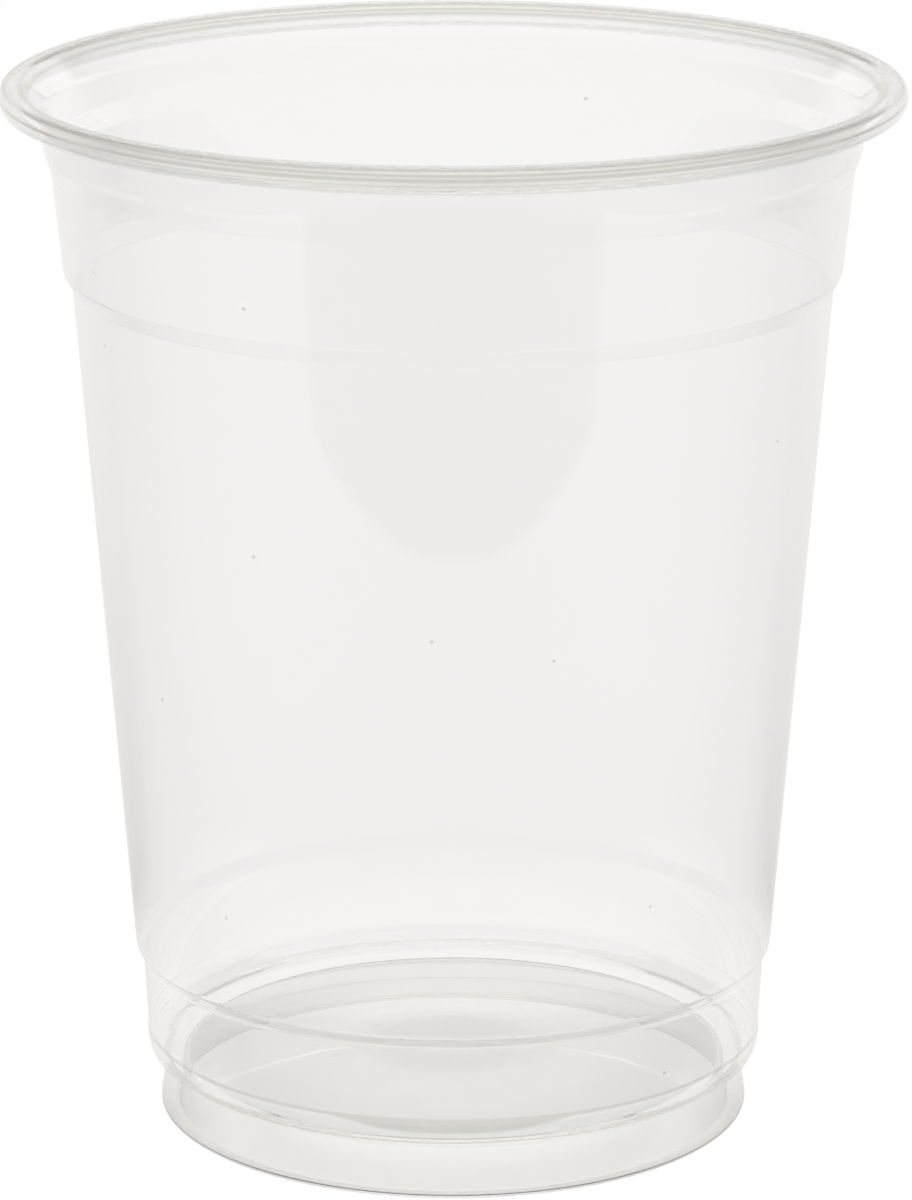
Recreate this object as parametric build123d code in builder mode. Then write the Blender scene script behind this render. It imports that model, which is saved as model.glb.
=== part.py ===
from build123d import *
import math
import os

# A clear drinking cup for cold drinks, drawn from one thin sheet of plastic and
# finished with a rolled rim. It is one piece, so it is one revolved solid.
# Millimetres, +Z up, origin on the table under the middle of the base.

# Overall sizes
rim_diameter = 95.0
foot_diameter = 63.9
height = 112.8
wall = 0.3

# Rolled rim: the sheet flares outwards and is then rolled over and under
curl_radius = 1.45
curl_sweep = 280.0
flare_lean = 35.0
flare_bend = 1.2
rim_overhang = 4.35

# Neck, between the rim and the upper band
neck_height = 5.4
neck_taper = 0.08
neck_step_height = 2.0
neck_step_depth = 0.75
neck_bend = 1.4

# Upper band, which nests inside the cup above it in a stack
upper_band_height = 10.9
upper_band_taper = 0.102

# Shoulder ledge under the upper band
shoulder_height = 1.8
shoulder_depth = 0.95
shoulder_bend = 0.9

# Step from the long tapered wall down to the lower band
step_top_height = 18.6
step_height = 1.3
step_depth = 0.75
step_bend = 0.7

# Lower band, with a soft bead along its bottom edge
lower_band_taper = 0.055
bead_height = 1.9
bead_bulge = 0.1
band_edge_height = 1.0
band_edge_bend = 0.9

# Foot, set in under the lower band
foot_height = 6.4
foot_taper = 0.12
foot_inset = 1.95
ledge_bend = 0.8
foot_bend = 0.45
ring_width = 2.2

# Base panel, raised inside the foot and crowned so that a full cup can't push it down
recess_height = 5.3
recess_lean = 6.0
recess_bend = 0.7
panel_crown = 0.5
crown_diameter = 16.0
crown_bend = 200.0

# Rim and upper half, as radii and heights along the outside of the sheet
rim_radius = rim_diameter / 2
curl_centre = Vector(rim_radius - curl_radius, height - curl_radius)
lean = math.radians(flare_lean)
flare_top = curl_centre - Vector(math.cos(lean), -math.sin(lean)) * (curl_radius - wall)

neck_radius = rim_radius - rim_overhang
flare_rise = (flare_top.X - neck_radius) / math.tan(lean)
neck_top = Vector(neck_radius, flare_top.Y - flare_rise)
neck_drop = neck_height - neck_step_height
neck_foot = neck_top - Vector(neck_taper * neck_drop, neck_drop)

band_top = neck_foot - Vector(neck_step_depth, neck_step_height)
band_foot = band_top - Vector(upper_band_taper * upper_band_height, upper_band_height)
body_top = band_foot - Vector(shoulder_depth, shoulder_height)

# Foot and lower half, from the table up
foot_radius = foot_diameter / 2
ring_inner = Vector(foot_radius - ring_width, 0)
foot_top = Vector(foot_radius - foot_taper * foot_height, foot_height)
ledge_edge = foot_top + Vector(foot_inset, 0)
bead_foot = ledge_edge + Vector(0, band_edge_height)
bead_top = bead_foot + Vector(lower_band_taper * bead_height, bead_height)
band_rise = step_top_height - step_height - bead_top.Y
lower_top = bead_top + Vector(lower_band_taper * band_rise, band_rise)
body_foot = lower_top + Vector(step_depth, step_height)

# Base panel, from the standing ring inwards
recess_run = recess_height * math.tan(math.radians(recess_lean))
recess_top = ring_inner + Vector(-recess_run, recess_height)
crown_edge = Vector(crown_diameter / 2, recess_height + panel_crown)

# The sheet is drawn as one path along its outside, then given its thickness
with BuildPart() as cup:
    with BuildSketch(Plane.XZ) as section:
        with BuildLine() as sheet:
            base = FilletPolyline(
                (0, crown_edge.Y),
                crown_edge,
                recess_top,
                ring_inner,
                (foot_radius, 0),
                foot_top,
                ledge_edge,
                bead_foot,
                radius=[crown_bend, recess_bend, foot_bend, foot_bend, ledge_bend, band_edge_bend],
            )
            bead = SagittaArc(bead_foot, bead_top, -bead_bulge)
            side = FilletPolyline(
                bead_top,
                lower_top,
                body_foot,
                body_top,
                band_foot,
                band_top,
                neck_foot,
                neck_top,
                flare_top,
                radius=[step_bend, step_bend, shoulder_bend, shoulder_bend, neck_bend, neck_bend, flare_bend],
            )
            curl = JernArc(side @ 1, side % 1, curl_radius - wall, -curl_sweep)
            offset(amount=wall, side=Side.LEFT)
        make_face()
    revolve(axis=Axis.Z)

cup.part.label = "cup"

os.makedirs("parts", exist_ok=True)
export_step(cup.part, "parts/cup.step")
print("volume", round(cup.part.volume), "mm3, size", cup.part.bounding_box().size)
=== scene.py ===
# %% [markdown]
# A clear plastic drinking cup, seen a little from above on a white table. The packed
# model is loaded first, because everything that follows has to stay inside its box.

# %% Load the model
import math

import bmesh
import bpy
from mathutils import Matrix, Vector


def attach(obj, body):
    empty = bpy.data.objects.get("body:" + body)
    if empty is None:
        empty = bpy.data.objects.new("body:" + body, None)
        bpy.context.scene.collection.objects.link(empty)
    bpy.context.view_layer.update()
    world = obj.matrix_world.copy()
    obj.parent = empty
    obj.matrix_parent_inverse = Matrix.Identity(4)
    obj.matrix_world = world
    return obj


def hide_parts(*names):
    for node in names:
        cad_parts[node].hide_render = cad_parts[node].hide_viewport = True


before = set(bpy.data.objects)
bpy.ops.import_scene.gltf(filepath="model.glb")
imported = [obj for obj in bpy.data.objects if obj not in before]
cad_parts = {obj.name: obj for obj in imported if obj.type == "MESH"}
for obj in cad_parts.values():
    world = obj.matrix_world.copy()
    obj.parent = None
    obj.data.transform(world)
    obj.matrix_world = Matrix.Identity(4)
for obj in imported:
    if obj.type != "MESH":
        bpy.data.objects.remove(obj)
scene = bpy.context.scene
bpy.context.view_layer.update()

# %% [markdown]
# The photograph was taken with a long lens from about 0.65 m away, looking down by
# just under 16 degrees. A long lens keeps the rim's ellipse almost as flat as the
# one at the foot. The lens is worked out from its length in pixels of the photograph.

# %% Camera
IMAGE_HEIGHT = 1200
FOCAL_PIXELS = 5915.6
SENSOR = 36.0
CAMERA_PLACE = (0.0003, -0.60947, 0.22857)
DEGREES_DOWN = 15.807
NEAREST_SEEN = 0.01

camera_data = bpy.data.cameras.new("photo_camera")
camera_data.sensor_width = SENSOR
camera_data.lens = FOCAL_PIXELS * SENSOR / IMAGE_HEIGHT
camera_data.clip_start = NEAREST_SEEN
camera = bpy.data.objects.new("photo_camera", camera_data)
camera.location = CAMERA_PLACE
camera.rotation_euler = (math.radians(90 - DEGREES_DOWN), 0.0, 0.0)
scene.collection.objects.link(camera)
scene.camera = camera
print("lens", round(camera_data.lens, 2), "mm")


# %% [markdown]
# Shader maths reads best as plain sums. A Wire wraps one socket, so that
# `1 - mask * 0.5` adds the Math nodes that it needs. A comparison gives 1 or 0, and
# `ramp` and `near` make the soft masks that place a tint on the cup.

# %% Wires
class Wire:
    """One output of a node, for use in sums."""

    def __init__(self, recipe, socket):
        self.recipe, self.socket = recipe, socket

    def __add__(self, other):
        return self.recipe.maths("ADD", self, other)

    def __radd__(self, other):
        return self.recipe.maths("ADD", other, self)

    def __sub__(self, other):
        return self.recipe.maths("SUBTRACT", self, other)

    def __rsub__(self, other):
        return self.recipe.maths("SUBTRACT", other, self)

    def __mul__(self, other):
        return self.recipe.maths("MULTIPLY", self, other)

    def __rmul__(self, other):
        return self.recipe.maths("MULTIPLY", other, self)

    def __truediv__(self, other):
        return self.recipe.maths("DIVIDE", self, other)

    def __rtruediv__(self, other):
        return self.recipe.maths("DIVIDE", other, self)

    def __gt__(self, other):
        return self.recipe.maths("GREATER_THAN", self, other)

    def __lt__(self, other):
        return self.recipe.maths("LESS_THAN", self, other)

    def size(self):
        return self.recipe.maths("ABSOLUTE", self)

    def root(self):
        return self.recipe.maths("SQRT", self)

    def up_to(self, other):
        return self.recipe.maths("MINIMUM", self, other)

    def at_least(self, other):
        return self.recipe.maths("MAXIMUM", self, other)

    def ramp(self, low, high):
        """0 below low, 1 above high, and smooth between them."""
        return self.recipe.add(
            "ShaderNodeMapRange", {"interpolation_type": "SMOOTHSTEP"},
            Value=self, **{"From Min": low, "From Max": high},
        )["Result"]

    def near(self, middle, inner, outer):
        """1 up to inner away from the middle, and 0 from outer on."""
        return 1 - (self - middle).size().ramp(inner, outer)


class Made:
    """A node that has been added. Its outputs are read by name, as Wires."""

    def __init__(self, recipe, node):
        self.recipe, self.node = recipe, node

    def __getitem__(self, name):
        return Wire(self.recipe, self.node.outputs[name])


print("a Wire can", [name for name in vars(Wire) if not name.startswith("__")])


# %% [markdown]
# A Recipe writes a node tree. `add` takes a node's type, its settings, and the values
# or links of its sockets, by order or by name. The settings come first, because they
# decide which sockets a node shows. The other methods are short names for the nodes
# that this scene uses most.

# %% Recipes
class Recipe:
    """A node tree that is being written."""

    def __init__(self, tree):
        self.tree = tree
        self.tree.nodes.clear()

    def add(self, kind, settings=None, *ordered, **named):
        node = self.tree.nodes.new(kind)
        for name, value in (settings or {}).items():
            setattr(node, name, value)
        for key, value in list(enumerate(ordered)) + list(named.items()):
            socket = node.inputs[key]
            if isinstance(value, Wire):
                self.tree.links.new(value.socket, socket)
            else:
                socket.default_value = value
        return Made(self, node)

    def maths(self, operation, *values):
        return self.add("ShaderNodeMath", {"operation": operation}, *values)["Value"]

    def mix_colours(self, mask, first, second):
        """The first colour where the mask is 0, the second where it is 1."""
        settings = {"data_type": "RGBA"}
        return self.add("ShaderNodeMix", settings, Factor=mask, A=first, B=second)["Result"]

    def mix_shaders(self, mask, first, second):
        return self.add("ShaderNodeMixShader", {}, mask, first, second)["Shader"]

    def see_through(self, colour):
        return self.add("ShaderNodeBsdfTransparent", {}, Color=colour)["BSDF"]

    def shine(self, colour):
        return self.add("ShaderNodeEmission", {}, Color=colour)["Emission"]


def new_material(name):
    material = bpy.data.materials.new(name)
    material.use_nodes = True
    return material, Recipe(material.node_tree)


def from_axis(spot):
    """How far a point is from the cup's axis, seen from above."""
    return (spot["X"] * spot["X"] + spot["Y"] * spot["Y"]).root()


print("a Recipe can", [name for name in vars(Recipe) if not name.startswith("__")])


# %% [markdown]
# The real cup is one sheet of plastic drawn into a mould, so it is drawn here as one
# line: from the middle of the base, out to the standing ring, up the outside and over
# the rolled rim. These are the same sizes as the model's, in millimetres. A bend is the
# radius of a rounded corner. A pair is a distance across and a distance up.

# %% Sizes of the cup
MM = 0.001
WALL = 0.3
RIM_RADIUS = 47.5
FOOT_RADIUS = 31.95
HEIGHT = 112.8

CURL = 1.45
CURL_SWEEP = math.radians(280)
LEAN = math.radians(35.0)


def step(point, across, up):
    return (point[0] + across, point[1] + up)


curl_centre = (RIM_RADIUS - CURL, HEIGHT - CURL)
curl_reach = CURL - WALL
flare_top = step(curl_centre, -math.cos(LEAN) * curl_reach, math.sin(LEAN) * curl_reach)
print("curl centre", curl_centre, "flare top", flare_top)

# %% [markdown]
# The upper half is worked out from the rim down: the flare, the neck, the upper band
# that rests inside the next cup of a stack, and the shoulder under it.

# %% Upper half
NECK_TOP = (43.15, 109.213)
NECK_HEIGHT = 3.4
NECK_TAPER = 0.08
NECK_STEP = (-0.75, -2.0)
BAND_HEIGHT = 10.9
BAND_TAPER = 0.102
SHOULDER = (-0.95, -1.8)
FLARE_BEND = 1.2
NECK_BEND = 1.4
SHOULDER_BEND = 0.9

neck_foot = step(NECK_TOP, -NECK_TAPER * NECK_HEIGHT, -NECK_HEIGHT)
band_top = step(neck_foot, *NECK_STEP)
band_foot = step(band_top, -BAND_TAPER * BAND_HEIGHT, -BAND_HEIGHT)
body_top = step(band_foot, *SHOULDER)
print("neck", NECK_TOP, "body top", body_top)

# %% [markdown]
# The lower half is worked out from the table up: the set-in foot, the ledge over it, a
# soft bead at the bottom of the lower band, and the step out to the long wall.

# %% Lower half
FOOT_HEIGHT = 6.4
FOOT_TAPER = 0.12
LEDGE_WIDTH = 1.95
BAND_EDGE_HEIGHT = 1.0
LOWER_TAPER = 0.055
BEAD_HEIGHT = 1.9
BEAD_DEPTH = 0.2
LOWER_BAND_HEIGHT = 8.0
LOWER_STEP = (0.75, 1.3)
FOOT_BEND = 0.45
LEDGE_BEND = 0.8
LEDGE_EDGE_BEND = 0.9
BEAD_FOOT_BEND = 0.2
BEAD_BEND = 3.5
BEAD_TOP_BEND = 0.1
STEP_BEND = 0.7

foot_edge = (FOOT_RADIUS, 0.0)
foot_top = step(foot_edge, -FOOT_TAPER * FOOT_HEIGHT, FOOT_HEIGHT)
ledge_edge = step(foot_top, LEDGE_WIDTH, 0.0)
bead_foot = step(ledge_edge, 0.0, BAND_EDGE_HEIGHT)
bead_middle = BEAD_HEIGHT / 2
bead_crown = step(bead_foot, LOWER_TAPER * bead_middle + BEAD_DEPTH, bead_middle)
bead_top = step(bead_foot, LOWER_TAPER * BEAD_HEIGHT, BEAD_HEIGHT)
lower_top = step(bead_top, LOWER_TAPER * LOWER_BAND_HEIGHT, LOWER_BAND_HEIGHT)
body_foot = step(lower_top, *LOWER_STEP)
print("foot", foot_edge, "body foot", body_foot)

# %% [markdown]
# The base is raised inside the standing ring and crowned a little, so that a full cup
# can't push it down to the table. With it, the whole line is there, corner by corner.

# %% Base and whole section
RING_WIDTH = 2.2
RECESS_HEIGHT = 5.3
RECESS_LEAN = math.radians(6)
RECESS_BEND = 0.7
PANEL_CROWN = 0.5
CROWN_RADIUS = 8.0
CROWN_BEND = 200.0

ring_inner = step(foot_edge, -RING_WIDTH, 0.0)
recess_top = step(ring_inner, -RECESS_HEIGHT * math.tan(RECESS_LEAN), RECESS_HEIGHT)
crown_height = RECESS_HEIGHT + PANEL_CROWN

SECTION = [
    ((0.0, crown_height), 0.0),
    ((CROWN_RADIUS, crown_height), CROWN_BEND),
    (recess_top, RECESS_BEND),
    (ring_inner, FOOT_BEND),
    (foot_edge, FOOT_BEND),
    (foot_top, LEDGE_BEND),
    (ledge_edge, LEDGE_EDGE_BEND),
    (bead_foot, BEAD_FOOT_BEND),
    (bead_crown, BEAD_BEND),
    (bead_top, BEAD_TOP_BEND),
    (lower_top, STEP_BEND),
    (body_foot, STEP_BEND),
    (body_top, SHOULDER_BEND),
    (band_foot, SHOULDER_BEND),
    (band_top, NECK_BEND),
    (neck_foot, NECK_BEND),
    (NECK_TOP, FLARE_BEND),
    (flare_top, 0.0),
]
print("corners", len(SECTION))


# %% [markdown]
# A drawn sheet has no sharp corner anywhere. A bevel would round the finished mesh, but
# these bends have exact sizes, so each corner of the line is rounded before it is spun,
# with an arc that touches both runs.

# %% Round the section's corners
ARC_STEP = math.radians(10)


def arc(centre, radius, start, sweep):
    count = max(2, math.ceil(abs(sweep) / ARC_STEP))
    angles = [start + sweep * i / count for i in range(count + 1)]
    return [
        Vector((centre[0] + radius * math.cos(angle), centre[1] + radius * math.sin(angle)))
        for angle in angles
    ]


def rounded(corners):
    line = [Vector(corners[0][0])]
    for i in range(1, len(corners) - 1):
        here, radius = Vector(corners[i][0]), corners[i][1]
        back = (Vector(corners[i - 1][0]) - here).normalized()
        on = (Vector(corners[i + 1][0]) - here).normalized()
        half = back.angle(on) / 2
        centre = here + (back + on).normalized() * (radius / math.sin(half))
        first = here + back * (radius / math.tan(half)) - centre
        side = 1 if (on.x * back.y - on.y * back.x) > 0 else -1
        sweep = side * (math.pi - 2 * half)
        line += arc(centre, radius, math.atan2(first.y, first.x), sweep)
    line.append(Vector(corners[-1][0]))
    return line


corner_line = rounded(SECTION)
print("points after rounding", len(corner_line))


# %% [markdown]
# The long runs get rings of their own, with one close to each end. Without them, smooth
# shading would spread the small bends' light over the whole wall. The rolled rim is a
# round curl of 280 degrees, open underneath, as on the real cup.

# %% The outside line
RUN_STEP = 6.0
LONG_RUN = 1.0
END_GAP = 0.25
SHORTEST_RUN = 0.01


def with_rings(line):
    """Long runs are divided, with one ring close to each end."""
    full = [line[0]]
    for a, b in zip(line, line[1:]):
        length = (b - a).length
        if length > LONG_RUN:
            gap = min(END_GAP, length / 6)
            count = max(1, round((length - 2 * gap) / RUN_STEP))
            places = [gap + (length - 2 * gap) * i / count for i in range(count + 1)]
            full += [a.lerp(b, place / length) for place in places]
        full.append(b)
    return full


curl = arc(curl_centre, curl_reach, math.pi - LEAN, -CURL_SWEEP)
line = with_rings(corner_line) + curl[1:]
outside = [line[0]]
for point in line[1:]:
    if (point - outside[-1]).length > SHORTEST_RUN:
        outside.append(point)
print("points", len(outside), "lowest", min(point.y for point in outside))


# %% [markdown]
# The sheet has a real thickness, because that is what bends light in its walls. A
# Solidify modifier would do it, but moving the line by the wall keeps the two sides
# evenly apart also in the bends.

# %% The inside line
SHARPEST = 0.5


def inner_side(line, wall):
    """The same line, moved to its left by the wall."""
    moved = []
    for i, point in enumerate(line):
        before = (point - line[i - 1]).normalized() if i else Vector((1, 0))
        after = (line[i + 1] - point).normalized() if i + 1 < len(line) else before
        along = (before + after).normalized()
        left = Vector((-along.y, along.x))
        moved.append(point + left * (wall / max(SHARPEST, along.dot(before))))
    return moved


inside = inner_side(outside, WALL)
print("highest", max(point.y for point in inside))


# %% [markdown]
# The two lines are spun round the cup's axis. One ring joins them at the free edge of
# the rolled rim, and each ends in one point at the middle of the base, so the sheet is
# a closed solid. A Screw modifier spins a line too, but it would leave many points on
# top of each other at the axis.

# %% Spin the sheet
SEGMENTS = 240
ON_AXIS = 1e-6


def ring_places(point):
    if point.x < ON_AXIS:
        return [(0, 0, point.y * MM)]
    turns = [2 * math.pi * i / SEGMENTS for i in range(SEGMENTS)]
    radius = point.x * MM
    return [(radius * math.cos(turn), radius * math.sin(turn), point.y * MM) for turn in turns]


def join_rings(shape, low, high):
    for i in range(SEGMENTS):
        j = (i + 1) % SEGMENTS
        corners = []
        for ring, k in ((low, i), (low, j), (high, j), (high, i)):
            vert = ring[k % len(ring)]
            if vert not in corners:
                corners.append(vert)
        if len(corners) > 2:
            shape.faces.new(corners)


def spun_mesh(name, line):
    mesh = bpy.data.meshes.new(name)
    shape = bmesh.new()
    rings = [[shape.verts.new(place) for place in ring_places(point)] for point in line]
    for low, high in zip(rings, rings[1:]):
        join_rings(shape, low, high)
    bmesh.ops.recalc_face_normals(shape, faces=shape.faces)
    for face in shape.faces:
        face.smooth = True
    shape.to_mesh(mesh)
    shape.free()
    return mesh


sheet_mesh = spun_mesh("cup_sheet", outside + inside[::-1])
cup_sheet = bpy.data.objects.new("cup_sheet", sheet_mesh)
scene.collection.objects.link(cup_sheet)
print("cup_sheet faces", len(sheet_mesh.polygons))

# %% [markdown]
# The plastic is clear PET: it lets nearly all light through, bends it like light glass
# and mirrors about a tenth of it from each wall. Its colour changes a little from place
# to place, so first come the measures that say where on the sheet a point is. They are
# in metres. `turned` is 0 where the sheet faces the eye and 1 where it is edge on.

# %% Where on the sheet
FRONT_FROM = (0.0, 0.008)

plastic, recipe = new_material("clear_plastic")
light_path = recipe.add("ShaderNodeLightPath")
place = recipe.add("ShaderNodeTexCoord")["Object"]
spot = recipe.add("ShaderNodeSeparateXYZ", {}, place)
up = spot["Z"]
forward = spot["Y"] * -1.0
front_half = forward.ramp(*FRONT_FROM)
across = from_axis(spot)
turned = recipe.add("ShaderNodeLayerWeight", {}, Blend=0.5)["Facing"]
print("nodes", len(plastic.node_tree.nodes))

# %% [markdown]
# Drawing the sheet leaves it a trace uneven, in long streaks up the wall. Real dents
# would need a far finer mesh, so a noise that is stretched upwards feeds a weak bump,
# and only the reflections waver.

# %% Faint waviness
STRETCH = (1.0, 1.0, 0.25)
WAVES_PER_METRE = 90.0
WAVE_DETAIL = 2.0
BUMP_STRENGTH = 0.02
BUMP_DEPTH = 0.001

stretched = recipe.add("ShaderNodeMapping", {}, Vector=place, Scale=STRETCH)["Vector"]
flow = recipe.add(
    "ShaderNodeTexNoise", {}, Vector=stretched, Scale=WAVES_PER_METRE, Detail=WAVE_DETAIL,
)["Fac"]
wavy = recipe.add(
    "ShaderNodeBump", {}, Strength=BUMP_STRENGTH, Distance=BUMP_DEPTH, Height=flow,
)["Normal"]
print("bump", round(BUMP_STRENGTH * BUMP_DEPTH / MM, 3), "mm")

# %% [markdown]
# A few specks of dust sit on the cup. The wall is unrolled into a flat map, Voronoi
# cells are laid on it, and about one cell in eight gets a speck at its centre. That is
# lighter than loose pieces of mesh, and it can't leave the surface.

# %% Dust
UNROLLED_RADIUS = 0.04
CELLS_PER_METRE = 60.0
SHARE_LEFT_CLEAN = 0.88
SPECK_SIZE = (0.008, 0.016)

round_wall = recipe.maths("ARCTAN2", spot["Y"], spot["X"]) * UNROLLED_RADIUS
unrolled = recipe.add("ShaderNodeCombineXYZ", {}, round_wall, up)["Vector"]
speck = recipe.add(
    "ShaderNodeTexVoronoi", {"voronoi_dimensions": "2D"},
    Vector=unrolled, Scale=CELLS_PER_METRE,
)
chosen = recipe.add("ShaderNodeSeparateColor", {}, speck["Color"])["Red"] > SHARE_LEFT_CLEAN
dust = chosen * (1 - speck["Distance"].ramp(*SPECK_SIZE))
print("specks up to", round(2 * SPECK_SIZE[1] / CELLS_PER_METRE / MM, 2), "mm across")

# %% [markdown]
# The rolled lip holds more plastic than the wall, so it looks a little greyer, and most
# of all where it turns away from the eye and light has a longer way through it. The
# even wall here can't do that by itself, so the lip gets a tint of its own.

# %% Lip tint
WALL_TINT = (0.980, 0.974, 0.964, 1.0)
LIP_TINT = (0.948, 0.934, 0.910, 1.0)
LIP_EDGE_TINT = (0.88, 0.86, 0.82, 1.0)
LIP_HEIGHTS = (0.1111, 0.1116)
LIP_TURNED = (0.7, 0.95)

lip_tint = recipe.mix_colours(turned.ramp(*LIP_TURNED), LIP_TINT, LIP_EDGE_TINT)
tint = recipe.mix_colours(up.ramp(*LIP_HEIGHTS), WALL_TINT, lip_tint)
print("lip tint from", LIP_HEIGHTS[0] / MM, "mm up")

# %% [markdown]
# The wall of the foot looks greyer than the rest, because the sheet is thicker there
# and the shadow under the cup shows through it. Here that is painted shade: the front
# half of the foot wall is tinted darker, and darker still where it turns edge on. The
# tint is on the front half alone, because on the far side it would show through the base.

# %% Foot tint, painted shade
FOOT_SHADE_TINT = (0.935, 0.928, 0.915, 1.0)
FOOT_EDGE_SHADE_TINT = (0.86, 0.85, 0.835, 1.0)
FOOT_HEIGHTS = (0.0058, 0.0064)
FOOT_ACROSS = (0.0302, 0.0306)
FOOT_TURNED = (0.25, 0.5)

# painted shade: the front half of the foot wall is tinted darker, more where it is edge on
foot_shade_mask = (1 - up.ramp(*FOOT_HEIGHTS)) * across.ramp(*FOOT_ACROSS) * front_half
foot_painted_shade = recipe.mix_colours(turned.ramp(*FOOT_TURNED), FOOT_SHADE_TINT, FOOT_EDGE_SHADE_TINT)
tint = recipe.mix_colours(foot_shade_mask, tint, foot_painted_shade)
print("foot tint up to", FOOT_HEIGHTS[1] / MM, "mm")

# %% [markdown]
# A dark line runs round the bottom of the lower band, where light is caught in the bend
# over the ledge. Here it is a painted reflection. In the middle of the front it drops and
# grows into a dark crescent. A much thinner painted line goes round the lip at its widest.
# On the real cup both are reflections of the room, so here they are drawn as masks of
# height instead of left to chance.

# %% Painted dark lines
PAINTED_LINE_HEIGHT = 0.0091
PAINTED_LINE_HALF_WIDTH = 0.0002
PAINTED_LINE_EDGE = (0.7, 1.2)
CRESCENT_FRONT = (0.0305, 0.0332)
CRESCENT_DROP = 0.00055
CRESCENT_WIDENS = 0.0006
LIP_LINE_HEIGHT = 0.11155
LIP_LINE_WIDTH = (0.00008, 0.00022)
PAINTED_LINE_TINT = (0.80, 0.785, 0.76, 1.0)

# painted reflection: a dark line, a crescent and a thin lip line tinted into the plastic
painted_crescent = forward.ramp(*CRESCENT_FRONT)
from_painted_line = up - PAINTED_LINE_HEIGHT + painted_crescent * CRESCENT_DROP
half_width = PAINTED_LINE_HALF_WIDTH + painted_crescent * CRESCENT_WIDENS
painted_crease_line = 1 - (from_painted_line.size() / half_width).ramp(*PAINTED_LINE_EDGE)
painted_crease_line = painted_crease_line * front_half
painted_lip_line = up.near(LIP_LINE_HEIGHT, *LIP_LINE_WIDTH)
tint = recipe.mix_colours(painted_lip_line.at_least(painted_crease_line), tint, PAINTED_LINE_TINT)
print("dark lines at", PAINTED_LINE_HEIGHT / MM, "and", LIP_LINE_HEIGHT / MM, "mm up")

# %% [markdown]
# The dust goes over the other tints, which include the painted shade of the foot and the
# painted reflection lines. Then all of them feed the plastic's one colour.
# The sheet has no roughness at all: even a little would blur what is behind it.

# %% Clear plastic
DUST_TINT = (0.74, 0.70, 0.66, 1.0)

tint = recipe.mix_colours(dust, tint, DUST_TINT)
clear = recipe.add(
    "ShaderNodeBsdfPrincipled", {},
    **{
        "Base Color": tint,
        "Roughness": 0.0,
        "IOR": 1.57,
        "Transmission Weight": 1.0,
        "Normal": wavy,
    },
)["BSDF"]
print("nodes", len(plastic.node_tree.nodes))

# %% [markdown]
# A thin clear wall throws a pale shadow, so a shadow ray passes straight through. The
# crown and the underside of the rolled rim and the ledge over the foot are the
# tightest bends. Light that is bent there draws black lines, which the real cup doesn't
# show, so most light goes straight through them as well.

# %% Pale shadow and tight bends
SHADOW_TINT = (0.96, 0.96, 0.955, 1.0)
BEND_TINT = (0.97, 0.965, 0.96, 1.0)
LEDGE_LINE_HEIGHT = 0.0067
LEDGE_LINE_WIDTH = (0.0003, 0.0009)
CROWN_HEIGHTS = (0.1122, 0.11255)
UNDERSIDE_FOOT = (0.1095, 0.1097)
UNDERSIDE_TOP = (0.1104, 0.1107)
UNDERSIDE_ACROSS = (0.0447, 0.0449)
LEDGE_SHARE = 0.85
RIM_SHARE = 0.8

ledge = up.near(LEDGE_LINE_HEIGHT, *LEDGE_LINE_WIDTH)
crown = up.ramp(*CROWN_HEIGHTS)
underside = up.ramp(*UNDERSIDE_FOOT) * (1 - up.ramp(*UNDERSIDE_TOP))
underside = underside * across.ramp(*UNDERSIDE_ACROSS)
bends = (ledge * LEDGE_SHARE).at_least(crown * RIM_SHARE).at_least(underside * RIM_SHARE)
pass_light = recipe.see_through(SHADOW_TINT)
shaded = recipe.mix_shaders(light_path["Is Shadow Ray"], clear, pass_light)
eased = recipe.mix_shaders(bends, shaded, recipe.see_through(BEND_TINT))
print("shares that go straight through the bends", LEDGE_SHARE, RIM_SHARE)

# %% [markdown]
# Light that has been mirrored more than once inside the sheet would go on for dozens of
# turns and end in black. In the real cup it comes out somewhere, so here it ends in one
# pale tone. The plastic isn't a lamp, and is left out of the list of lamps.

# %% Trapped light
TRAPPED_TONE = (0.78, 0.76, 0.73, 1.0)
MIRRORED_TWICE = 1.5

trapped = light_path["Glossy Depth"] > MIRRORED_TWICE
piped = recipe.mix_shaders(trapped, eased, recipe.shine(TRAPPED_TONE))
recipe.add("ShaderNodeOutputMaterial", {}, Surface=piped)
plastic.cycles.emission_sampling = "NONE"
print("nodes", len(plastic.node_tree.nodes))

# %% [markdown]
# The sheet rides on the cup's one body and gets the clear plastic. It stands for the
# model's own solid, which has the same shape and is hidden.

# %% Put the sheet in the frame
sheet_mesh.materials.append(plastic)
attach(cup_sheet, "root")
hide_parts("cup")
print("materials", [material.name for material in sheet_mesh.materials])


# %% [markdown]
# The floor is a white table. Clear plastic shows little of its own: what is seen in it
# is the set round it. So the floor and the room need two looks, one for rays that come
# straight to the eye or through the plastic, and one for rays that it has mirrored.

# %% Table and two kinds of rays
MIRRORED_ONCE = 0.5
FLOOR_SIZE = 6.0
SMALLEST = 0.001


def ray_masks(recipe):
    light_path = recipe.add("ShaderNodeLightPath")
    mirrored = light_path["Glossy Depth"] > MIRRORED_ONCE
    seen = light_path["Is Camera Ray"] + light_path["Is Transmission Ray"]
    return mirrored, (1 - mirrored) * seen.up_to(1.0)


bpy.ops.mesh.primitive_grid_add(x_subdivisions=8, y_subdivisions=8, size=FLOOR_SIZE)
floor = bpy.context.object
floor.name = "white_table"
paper, recipe = new_material("white_table")
mirrored, straight = ray_masks(recipe)
spot = recipe.add("ShaderNodeSeparateXYZ", {}, recipe.add("ShaderNodeNewGeometry")["Position"])
side = spot["X"].size()
ahead = spot["Y"] * -1.0
reach = from_axis(spot)
print("floor", round(floor.dimensions.x, 2), "m across")

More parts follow.
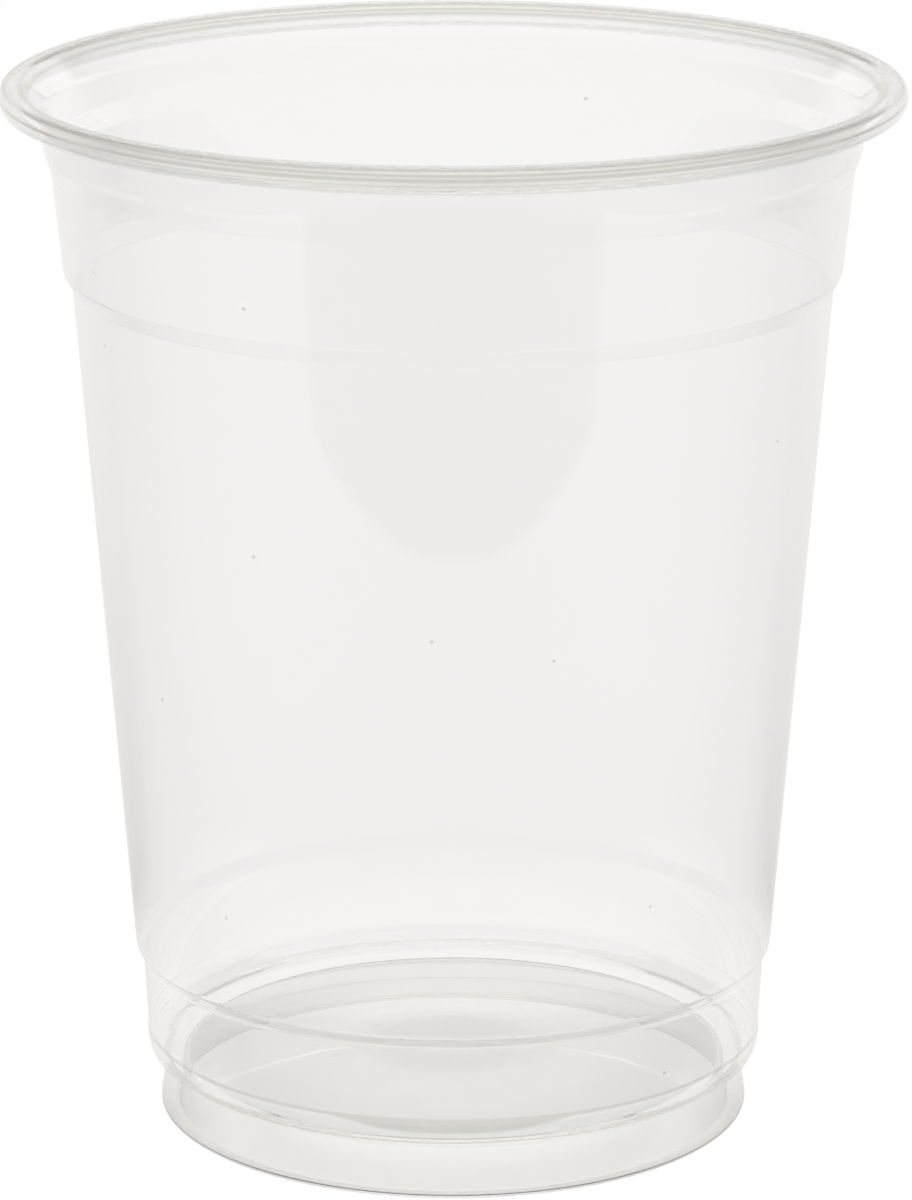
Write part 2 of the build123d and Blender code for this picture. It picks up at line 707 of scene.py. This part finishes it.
# %% [markdown]
# These are the shapes in the mirrored floor, each a mask by distance. In front, the
# table ends in a dark room, which is the dark patch high on the cup's back wall. Far
# out it is dark all round. White paper fans out behind the cup. Close by, the cup
# shades the table in front of it, and the paper glows beside and behind it.

# %% Shapes in the mirrored floor
ROOM_AHEAD = (0.385, 0.41)
ROOM_FAN = (1.05, 1.2)
PAPER_BEHIND = (0.0, 0.02)
PAPER_FAN = (0.2, 1.7)
FAR_OUT = (1.05, 1.25)
FAR_SHIFT = 0.77
SHADOW_REACH = (0.050, 0.065)
SHADOW_AHEAD = (0.015, 0.03)
BESIDE_REACH = (0.06, 0.10)
BESIDE_AHEAD = (-0.01, 0.015)
UNDER_BASE = (0.0290, 0.0300)

room_fan = 1 - (side / ahead.at_least(SMALLEST)).ramp(*ROOM_FAN)
dark_room = ahead.ramp(*ROOM_AHEAD) * room_fan
paper_fan = 1 - (side / spot["Y"].at_least(SMALLEST)).ramp(*PAPER_FAN)
behind = paper_fan * spot["Y"].ramp(*PAPER_BEHIND)
far = (reach - ahead * FAR_SHIFT).ramp(*FAR_OUT) * (1 - behind)
own_shadow = (1 - reach.ramp(*SHADOW_REACH)) * ahead.ramp(*SHADOW_AHEAD)
beside = (1 - reach.ramp(*BESIDE_REACH)) * (1 - ahead.ramp(*BESIDE_AHEAD))
hollow = 1 - reach.ramp(*UNDER_BASE)
print("nodes", len(paper.node_tree.nodes))

# %% [markdown]
# The tones are added up from dark to light: grey for the table, a little more to the
# sides, and bright for the paper. Under the raised base it is nearly white, because the
# base holds light in. Seen straight, the floor is white and keeps the cup's shadow,
# which falls on a weak matt surface under an even white.

# %% Floor
DARKEST = 0.02
TABLE_TONE = 0.48
SIDE_TONE = 0.1
SIDE_REACH = (0.06, 0.2)
PAPER_TONE = 0.36
HOLLOW_TONE = 0.92
EVEN_WHITE = 0.8
MATT_GREY = (0.2, 0.2, 0.2, 1.0)

table = (1 - dark_room.at_least(far)) * (1 - own_shadow) * TABLE_TONE
sides = side.ramp(*SIDE_REACH) * SIDE_TONE
tone = DARKEST + table + sides + behind.at_least(beside) * PAPER_TONE
tone = tone.at_least(hollow * HOLLOW_TONE)
matt = recipe.add("ShaderNodeBsdfDiffuse", {}, Color=MATT_GREY)["BSDF"]
lift = recipe.shine(straight * EVEN_WHITE)
seen = recipe.add("ShaderNodeAddShader", {}, matt, lift)["Shader"]
surface = recipe.mix_shaders(mirrored, seen, recipe.shine(tone))
recipe.add("ShaderNodeOutputMaterial", {}, Surface=surface)
floor.data.materials.append(paper)
paper.cycles.emission_sampling = "NONE"
print("nodes", len(paper.node_tree.nodes))

# %% [markdown]
# The room is white where it is seen directly. What the plastic mirrors is a plain grey
# room that is brighter overhead, with a low bright backdrop behind the cup. For the
# light that falls on the table it is an even half grey.

# %% Room
OVERHEAD = (0.55, 0.9)
BACKDROP_BEHIND = (0.2, 0.8)
BACKDROP_TOP = (0.28, 0.34)
ROOM_TONE = 0.3
OVERHEAD_TONE = 0.2
BACKDROP_TONE = 0.55
EVEN_LIGHT = 0.5

world = bpy.data.worlds.new("room")
world.use_nodes = True
scene.world = world
recipe = Recipe(world.node_tree)
mirrored, straight = ray_masks(recipe)
way = recipe.add("ShaderNodeSeparateXYZ", {}, recipe.add("ShaderNodeTexCoord")["Generated"])
overhead = way["Z"].ramp(*OVERHEAD)
backdrop = way["Y"].ramp(*BACKDROP_BEHIND) * (1 - way["Z"].ramp(*BACKDROP_TOP))
room = ROOM_TONE + overhead * OVERHEAD_TONE + backdrop * BACKDROP_TONE
around = mirrored * room.up_to(1.0) + (1 - mirrored) * EVEN_LIGHT
background = recipe.add("ShaderNodeBackground", {}, Color=straight + (1 - straight) * around)
recipe.add("ShaderNodeOutputWorld", {}, Surface=background["Background"])
world.cycles.sampling_method = "NONE"
print("nodes", len(world.node_tree.nodes))

# %% [markdown]
# One large soft lamp stands almost overhead, like a softbox. A sun lamp with a wide
# angle gives the same soft, pale shadow at any distance. It doesn't show in the
# plastic, because the photograph has no bright spot on the cup.

# %% Lamp
LAMP_STRENGTH = 1.6
LAMP_WIDTH = math.radians(60)
LAMP_TILT = (math.radians(-12), math.radians(8), 0.0)

lamp_data = bpy.data.lights.new("softbox", "SUN")
lamp_data.energy = LAMP_STRENGTH
lamp_data.angle = LAMP_WIDTH
lamp = bpy.data.objects.new("softbox", lamp_data)
lamp.rotation_euler = LAMP_TILT
lamp.visible_glossy = False
scene.collection.objects.link(lamp)
print("lamp strength", round(lamp_data.energy, 2))

# %% [markdown]
# A view through a clear cup crosses many surfaces: each wall has two, and the rolled
# rim has more. Light paths get enough bounces to reach the white behind it. Mirrored
# light needs few, because it ends in the pale tone of trapped light.

# %% Bounces and colour
CLEAR_BOUNCES = 20
MIRROR_BOUNCES = 4

scene.view_settings.view_transform = "Standard"
scene.cycles.max_bounces = CLEAR_BOUNCES
scene.cycles.transmission_bounces = CLEAR_BOUNCES
scene.cycles.glossy_bounces = MIRROR_BOUNCES
print("bounces", scene.cycles.max_bounces)

# %% [markdown]
